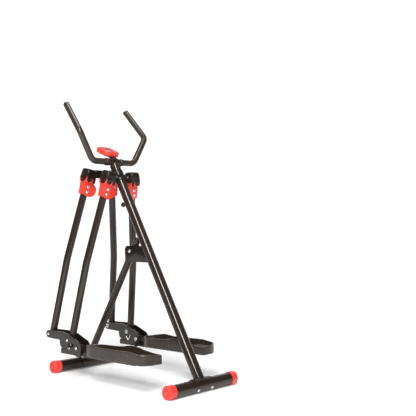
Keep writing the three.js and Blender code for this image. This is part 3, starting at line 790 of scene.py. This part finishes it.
def frame_plug():
    centre = (FOLD.x, (FRAME_TOP + FRAME_BOTTOM) / 2)
    outline = rounded_box(0.0148, 0.0113, 0.002, centre)
    return prism(outline, "Y", FRAME_FRONT - 0.012, FRAME_FRONT - 0.0006)


def linkage(side, sign):
    body = f"pedal_{side}"
    # The plates and their trim wear the darker link paint, which is painted shade.
    for name, low in (("outer", LINK_INNER), ("inner", -LINK_INNER - LINK_PLATE)):
        plate = prism(link_outline(), "X", FOLD.x + low, FOLD.x + low + LINK_PLATE)
        piece(f"link_{name}_{side}", plate, body, SHADED_LINK_PAINT, sign, 0.0011, [f"link_plate_{name}_{side}"])
    piece(f"link_trim_{side}", link_trim(), body, SHADED_LINK_PAINT, sign)
    for name, centre in (("front_link", FRONT_FOOT), ("rear_link", REAR_FOOT), ("fold", FOLD)):
        piece(f"{name}_pin_{side}", link_bolt(centre), body, STEEL, sign, hides=[f"{name}_bolt_{side}"])
    # Each clip is on the side of its linkage that faces -X, so the pair is not mirrored.
    face = FOLD.x - sign * (LINK_INNER + LINK_PLATE + 0.002)
    piece(f"spring_clip_{side}", spring_clip(face), body, SPRING, sign)
    piece(f"pull_pin_{side}", lock_pin(), f"lock_{side}", BLACK, sign, hides=[f"lock_pin_{side}"])
    section, lug = pad_frame()
    piece(f"pad_rail_{side}", pitched(section), f"pad_{side}", PAINT, sign, 0.0004, [f"pad_frame_{side}"])
    piece(f"pad_lug_{side}", pitched(lug), f"pad_{side}", PAINT, sign, 0.0016)
    piece(f"rail_plug_{side}", pitched(frame_plug()), f"pad_{side}", BLACK, sign, 0.0012)


# ---- Foot pads ----
HEEL_CORNER = 0.014
HEEL_WIDTH, HEEL_LENGTH = 0.080, 0.048
TOE_LENGTH = 0.090
# Heights of the rim's two long sides, as (y, z) from toe to heel.
INNER_RIM = ((0.155, 0.176), (0.045, 0.177), (-0.040, 0.181), (-0.095, 0.190), (-0.125, 0.191),
             (-0.160, 0.188), (-0.195, 0.180), (-0.231, 0.175), (-0.280, 0.170), (-0.327, 0.169))
OUTER_RIM = ((0.155, 0.176), (0.095, 0.184), (0.055, 0.188), (-0.005, 0.182), (-0.145, 0.184),
             (-0.215, 0.185), (-0.255, 0.181), (-0.295, 0.176), (-0.327, 0.176))


def pad_outline(inset, steps):
    """Points round the tray: a tight inner heel corner, a long outer one, straight sides and an oval toe."""
    half = PAD_HALF_WIDTH - inset
    rear, front = PAD_REAR + inset, PAD_FRONT - inset
    corner = HEEL_CORNER - inset
    width, length = HEEL_WIDTH - inset, HEEL_LENGTH - inset
    toe = []
    for k in range(61):
        a = pi * k / 60
        toe.append((PAD_X + (half - 0.002) * cos(a), front - TOE_LENGTH * (1 - sin(a))))
    inner_heel = arc(PAD_X - half + corner, rear + corner, corner, 180, 270, 12)
    outer_heel = []
    for k in range(31):
        a = radians(270 + 3 * k)
        outer_heel.append((PAD_X + half - width * (1 - cos(a)), rear + length * (1 + sin(a))))
    return resample(toe + inner_heel + outer_heel, steps)


def resample(points, steps):
    """Evenly spaced points round a closed outline."""
    loop = [Vector(p) for p in points] + [Vector(points[0])]
    lengths = [0.0]
    for a, b in zip(loop, loop[1:]):
        lengths.append(lengths[-1] + (b - a).length)
    even, span = [], 0
    for k in range(steps):
        target = lengths[-1] * k / steps
        while lengths[span + 1] < target:
            span += 1
        share = (target - lengths[span]) / max(lengths[span + 1] - lengths[span], 1e-9)
        even.append(loop[span].lerp(loop[span + 1], share))
    return even


def rim_height(rim, y):
    """Height of one side's rim at y, on a smooth curve through its points from toe to heel."""
    last = len(rim) - 1
    k = next((k for k in range(last) if y >= rim[k + 1][0]), last - 1)
    around = [rim[min(max(k + i, 0), last)] for i in (-1, 0, 1, 2)]
    (before_y, before_z), (y0, z0), (y1, z1), (after_y, after_z) = around
    span = y1 - y0
    share = min(1.0, max(0.0, (y - y0) / span))
    slope0 = span * (z1 - before_z) / (y1 - before_y)
    slope1 = span * (after_z - z0) / (after_y - y0)
    rise = z1 - z0
    square = 3 * rise - 2 * slope0 - slope1
    cube = slope0 + slope1 - 2 * rise
    return z0 + share * (slope0 + share * (square + share * cube))


def wall_top(x, y):
    """Height of the tray's rim: each long side has its own curve, and the two blend across toe and heel."""
    share = min(1.0, max(0.0, (x - PAD_X + 0.040) / 0.080))
    share *= share * (3 - 2 * share)
    return rim_height(INNER_RIM, y) * (1 - share) + rim_height(OUTER_RIM, y) * share


def tray():
    """The tray's skin: an outer wall with a rolled rim, an inner wall, the tread and a hollow underside."""
    count = 200
    outer = pad_outline(0.0, count)
    skirt = pad_outline(0.0012, count)
    mid = pad_outline(PAD_WALL / 2, count)
    inner = pad_outline(PAD_WALL, count)
    fillet = pad_outline(PAD_WALL + 0.004, count)
    rings = [[Vector((*p, PAD_BOTTOM)) for p in skirt], [Vector((*p, PAD_BOTTOM + 0.0015)) for p in outer]]
    tops = [wall_top(*p) for p in outer]
    edge = PAD_WALL / 2
    for share in (0.25, 0.5, 0.75):
        rings.append([Vector((*p, PAD_BOTTOM + (top - edge - PAD_BOTTOM) * share))
                      for p, top in zip(outer, tops)])
    for angle in (0, 22, 45, 68, 90, 112, 135, 158, 180):
        lean = 0.5 - 0.5 * cos(radians(angle))
        rise = edge * sin(radians(angle))
        rings.append([Vector((*o.lerp(i, lean), top - edge + rise)) for o, i, top in zip(outer, inner, tops)])
    rings.append([Vector((*p, TREAD + 0.004)) for p in inner])
    rings.append([Vector((*i.lerp(f, 0.3), TREAD + 0.0012)) for i, f in zip(inner, fillet)])
    rings.append([Vector((*p, TREAD)) for p in fillet])
    top_skin = loft_open(rings)
    under = [[Vector((*p, PAD_BOTTOM)) for p in skirt], [Vector((*p, PAD_BOTTOM)) for p in mid],
             [Vector((*p, PAD_BOTTOM + 0.001)) for p in inner], [Vector((*p, TREAD - 0.005)) for p in inner]]
    return merged(top_skin, loft_open(under, flip=True))


def rim_bead():
    """The rounded bead along the top of the tray's wall."""
    points = [Vector((*p, wall_top(*p) - 0.0008)) for p in pad_outline(PAD_WALL / 2, 160)]
    return bead_loop(points, 0.0017, Vector((0, 0, 1)), ripple=0)


def ribs_across(outline, places, height, radius):
    """Low rounded ribs across the tray, each as long as the outline is wide there."""
    parts = []
    for y in places:
        near = [p.x for p in outline if abs(p.y - y) < 0.003]
        parts.append(prism(arc(y, height, radius, 0, 180, 8), "X", min(near), max(near)))
    return merged(*parts)


def tread_ribs():
    spacing = 0.0085
    places = [PAD_REAR + 0.018]
    while places[-1] + spacing < PAD_FRONT - 0.024:
        places.append(places[-1] + spacing)
    return ribs_across(pad_outline(PAD_WALL + 0.0065, 240), places, TREAD - 0.0004, 0.0017)


def heel_platform():
    """A raised ribbed block under the heel, ramped at its front."""
    front = PAD_REAR + 0.175
    outline = [p for p in pad_outline(PAD_WALL + 0.0012, 300) if p.y <= front]
    rings = []
    for inset, height in ((0, 0), (0, 0.0105), (0.0012, 0.0125)):
        ring = []
        for p in outline:
            ramp = min(1.0, (front - p.y) / 0.045)
            shrink = 1 - inset / PAD_HALF_WIDTH
            ring.append(Vector((PAD_X + (p.x - PAD_X) * shrink, p.y, TREAD - 0.0005 + height * ramp)))
        rings.append(ring)
    return loft(rings)


def heel_ribs():
    places = [PAD_REAR + 0.014 + 0.0068 * k for k in range(18)]
    return ribs_across(pad_outline(PAD_WALL + 0.0045, 300), places, TREAD + 0.0117, 0.0015)


def underside_ribs():
    """Ribs under the tray, on both sides of the rail."""
    bottom, top = PAD_BOTTOM + 0.004, TREAD - 0.004
    spans = (
        (PAD_X - PAD_HALF_WIDTH + 0.005, FOLD.x - 0.019),
        (FOLD.x + 0.019, PAD_X + PAD_HALF_WIDTH - 0.005),
    )
    parts = []
    for k in range(9):
        y = PAD_REAR + 0.045 + 0.045 * k
        for low, high in spans:
            outline = [(low, bottom), (high, bottom), (high, top), (low, top)]
            parts.append(prism(outline, "Y", y, y + 0.002))
    return merged(*parts)


def pad_bolts():
    """Carriage bolt heads that hold the tray down on its rail."""
    parts = []
    for y in (PAD_REAR + 0.195, PAD_REAR + 0.275, PAD_REAR + 0.375):
        parts.append(lathe(dome_head(0.0085, 0.0036), Vector((FOLD.x, y, TREAD)), Vector((0, 0, -1)), 32))
    return merged(*parts)


def foot_pad(side, sign):
    body = f"pad_{side}"
    piece(f"tray_{side}", pitched(tray()), body, PAD_PLASTIC, sign, hides=[f"foot_pad_{side}"])
    piece(f"tread_ribs_{side}", pitched(tread_ribs()), body, TREAD_PLASTIC, sign)
    # The rim bead wears the lighter rim plastic, a painted highlight.
    piece(f"rim_bead_{side}", pitched(rim_bead()), body, RIM_HIGHLIGHT_PLASTIC, sign)
    piece(f"heel_block_{side}", pitched(heel_platform()), body, PAD_PLASTIC, sign)
    piece(f"heel_ribs_{side}", pitched(heel_ribs()), body, TREAD_PLASTIC, sign)
    piece(f"tray_ribs_{side}", pitched(underside_ribs()), body, PAD_PLASTIC, sign, 0.0004)
    piece(f"tray_bolts_{side}", pitched(pad_bolts()), body, STEEL, sign)


# ---- Handlebar ----
def tee_sleeve():
    """The sleeve round the handlebar, with a ring at each end and a neck that narrows up from the post."""
    half, r, ring = TEE_HALF_LENGTH, TEE_RADIUS, TEE_RADIUS + 0.0014
    profile = [
        (0.0172, 0), (ring - 0.001, 0), (ring, 0.001), (ring, 0.012), (ring - 0.0008, 0.013),
        (r - 0.0006, 0.014), (r, 0.016), (r, 2 * half - 0.016), (r - 0.0006, 2 * half - 0.014),
        (ring - 0.0008, 2 * half - 0.013), (ring, 2 * half - 0.012), (ring, 2 * half - 0.001),
        (ring - 0.001, 2 * half), (0.0172, 2 * half), (0.0172, 0),
    ]
    sleeve = lathe(profile, TEE_CENTRE - Vector((half, 0, 0)), Vector((1, 0, 0)), 64)
    taper = [(0, -0.012), (0.0235, -0.012), (0.0235, GAP), (0.026, GAP), (0.0258, 0.004), (0.0235, 0.008),
             (0.0205, 0.012), (0, 0.012)]
    return merged(sleeve, lathe(taper, post_point(POST_LENGTH), POST_ALONG, 64))


def handlebar(side, sign):
    corners = [
        TEE_CENTRE + Vector((0.005, 0, 0)),
        TEE_CENTRE + Vector((0.143, 0, 0)),
        Vector((0.225, 0.200, 1.271)),
        Vector((0.206, 0.345, 1.431)),
    ]
    heading = (corners[-1] - corners[-2]).normalized()
    corners[-1] = corners[-1] - heading * 0.0035
    bar = tube(bent(corners, 0.046, 14), BAR_RADIUS, THIN_WALL)
    piece(f"grip_bar_{side}", bar, "frame", GRIP_PAINT, sign, hides=[f"handlebar_{side}"])
    cap = [(0, -0.012), (0.0145, -0.012), (0.0145, 0.0001), (0.0166, 0.0001), (0.0166, 0.0018),
           (0.0156, 0.003), (0.0132, 0.0035), (0, 0.0035)]
    piece(f"grip_plug_{side}", lathe(cap, corners[-1], heading, 48), "frame", BLACK, sign)
    screw = lathe(dome_head(0.0055, 0.0026), TEE_CENTRE + Vector((0.0475, 0, -0.0198)), Vector((0, 0, 1)), 24)
    piece(f"sleeve_screw_{side}", screw, "frame", STEEL, sign)


# ---- Console ----
def console():
    tilt = Matrix.Rotation(atan2(-BUTTON_AXIS.y, BUTTON_AXIS.z), 4, "X")
    place = Matrix.Translation(middle("console_case")) @ tilt
    half_x, half_y, corner = 0.050, 0.0505, 0.026
    steps = ((-0.0150, 0.012), (-0.0147, 0.0075), (-0.0132, 0.0032), (-0.0108, 0.001), (-0.0075, 0),
             (0.0072, 0), (0.0105, 0.0008), (0.0132, 0.0028), (0.0147, 0.0055), (0.0149, 0.0078),
             (0.0143, 0.0096), (0.0131, 0.0106), (0.0128, 0.0125), (0.0128, 0.020))
    rings = []
    for height, inset in steps:
        outline = rounded_box(half_x - inset, half_y - inset, corner - inset, steps=14)
        rings.append([Vector((u, v, height)) for u, v in outline])
    piece("console_shell", moved(loft(rings), place), "frame", RED, hides=["console_case"])
    bezel = prism(rounded_box(0.0270, 0.0170, 0.005, (0, 0.010)), "Z", 0.011, 0.0136)
    piece("console_bezel", moved(bezel, place), "frame", BEZEL, bevel=0.0006)
    window = prism(rounded_box(0.0230, 0.0132, 0.003, (0, 0.010)), "Z", 0.0115, 0.01385)
    piece("console_window", moved(window, place), "frame", DISPLAY, bevel=0.0003, hides=["console_lens"])
    piece("console_digits", moved(digits(), place), "frame", DIGITS)
    ring = [(0.0073, 0), (0.0094, 0), (0.0094, 0.0016), (0.0086, 0.0021), (0.0073, 0.0021), (0.0073, 0)]
    collar = lathe(ring, Vector((0, -0.030, 0.0124)), Vector((0, 0, 1)), 40)
    piece("button_collar", moved(collar, place), "frame", RED)
    press = lathe([(0, 0), (0.0069, 0), (0.0069, 0.0048), (0.0062, 0.0062), (0.0045, 0.0069), (0, 0.007)],
                  Vector((0, -0.030, 0.011)), Vector((0, 0, 1)), 40)
    piece("console_push", moved(press, place), "button", BLUE, hides=["console_button"])
    keep("console_bracket", BLACK, 0.0016)


def digits():
    """Four blank-looking zeros on the display, as seven-segment bars without the middle one."""
    parts = []
    for k in range(4):
        u = -0.0165 + 0.011 * k
        bars = [((u - 0.0028, 0.0162), (u + 0.0028, 0.0172)), ((u - 0.0028, 0.0028), (u + 0.0028, 0.0038)),
                ((u - 0.0036, 0.0042), (u - 0.0027, 0.0158)), ((u + 0.0027, 0.0042), (u + 0.0036, 0.0158))]
        for (u0, v0), (u1, v1) in bars:
            parts.append(prism([(u0, v0), (u1, v0), (u1, v1), (u0, v1)], "Z", 0.0137, 0.0140))
    return merged(*parts)


# ---- Stage: pale sweep, soft lights and the camera ----
CAMERA_PLACE = Vector((-2.514, -2.791, 0.809))
CAMERA_YAW = radians(47.49)
CAMERA_PITCH = radians(1.03)
CAMERA_LENS = 62.5


def stage():
    shader = Shader("pale_sweep", 0.8)
    shader.colour(shader.noise(1.5, 3.0), (0.2, (0.93, 0.93, 0.93)), (0.8, (0.95, 0.95, 0.95)))
    side, near, far, height, curve = 14.0, -9.0, 9.0, 9.0, 3.0
    profile = [(near, 0.0)]
    for k in range(16):
        a = radians(6 * k)
        profile.append((far - curve + curve * sin(a), curve - curve * cos(a)))
    profile.append((far, height))
    bm = bmesh.new()
    edges = [[bm.verts.new((x, y, z)) for y, z in profile] for x in (-side, side)]
    for k in range(len(profile) - 1):
        bm.faces.new((edges[0][k], edges[1][k], edges[1][k + 1], edges[0][k + 1]))
    mesh = bpy.data.meshes.new("sweep")
    bm.to_mesh(mesh)
    bm.free()
    mesh.shade_smooth()
    distance = shader.nodes.new("ShaderNodeVectorMath")
    distance.operation = "LENGTH"
    shader.links.new(shader.coordinates, distance.inputs[0])
    glow = shader.nodes.new("ShaderNodeMapRange")
    glow.inputs["From Min"].default_value = 0.9
    glow.inputs["From Max"].default_value = 3.2
    glow.inputs["To Min"].default_value = 0.12
    glow.inputs["To Max"].default_value = 0.65
    shader.links.new(distance.outputs["Value"], glow.inputs["Value"])
    shader.links.new(glow.outputs["Result"], shader.bsdf.inputs["Emission Strength"])
    shader.bsdf.inputs["Emission Color"].default_value = (1, 1, 1, 1)
    mesh.materials.append(shader.material)
    sweep = bpy.data.objects.new("sweep", mesh)
    sweep.rotation_euler = (0, 0, -CAMERA_YAW)
    bpy.context.scene.collection.objects.link(sweep)


def area_light(name, place, target, size, power, length=None):
    light = bpy.data.lights.new(name, "AREA")
    light.energy = power
    light.shape = "RECTANGLE"
    light.size = size
    light.size_y = length or size
    obj = bpy.data.objects.new(name, light)
    obj.location = place
    obj.rotation_euler = (Vector(target) - Vector(place)).to_track_quat("-Z", "Y").to_euler()
    bpy.context.scene.collection.objects.link(obj)


def lights():
    aim = (0, 0, 0.6)
    area_light("overhead softbox", (-0.1, 0.1, 3.6), aim, 1.2, 38)
    area_light("key strip", (-2.55, -1.85, 3.15), aim, 0.78, 225, 2.8)
    area_light("camera side softbox", (-3.6, -1.2, 2.0), aim, 1.6, 3)
    area_light("far fill", (3.2, 2.4, 2.4), aim, 2.4, 7)
    world = bpy.data.worlds.new("studio")
    world.use_nodes = True
    background = world.node_tree.nodes["Background"]
    background.inputs["Color"].default_value = (1, 1, 1, 1)
    background.inputs["Strength"].default_value = 0.1
    bpy.context.scene.world = world


def camera():
    data = bpy.data.cameras.new("camera")
    data.lens = CAMERA_LENS
    data.sensor_width = 36
    obj = bpy.data.objects.new("camera", data)
    obj.location = CAMERA_PLACE
    obj.rotation_euler = (pi / 2 + CAMERA_PITCH, 0, -CAMERA_YAW)
    bpy.context.scene.collection.objects.link(obj)
    bpy.context.scene.camera = obj


# ---- The machine ----
floor_end("rear", REAR_TUBE, REAR_BOLT_ANGLE, "frame")
floor_end("front", FRONT_TUBE, FRONT_BOLT_ANGLE, "strut")
main_post()
front_strut()
fold_bracket()
head()
for side, sign in SIDES:
    arm(side, sign, "front")
    arm(side, sign, "rear")
    linkage(side, sign)
    foot_pad(side, sign)
    handlebar(side, sign)
piece("tee_sleeve", tee_sleeve(), "frame", PAINT, hides=["handlebar_tee"])
console()

stage()
lights()
camera()
bpy.context.scene.view_settings.view_transform = "Standard"
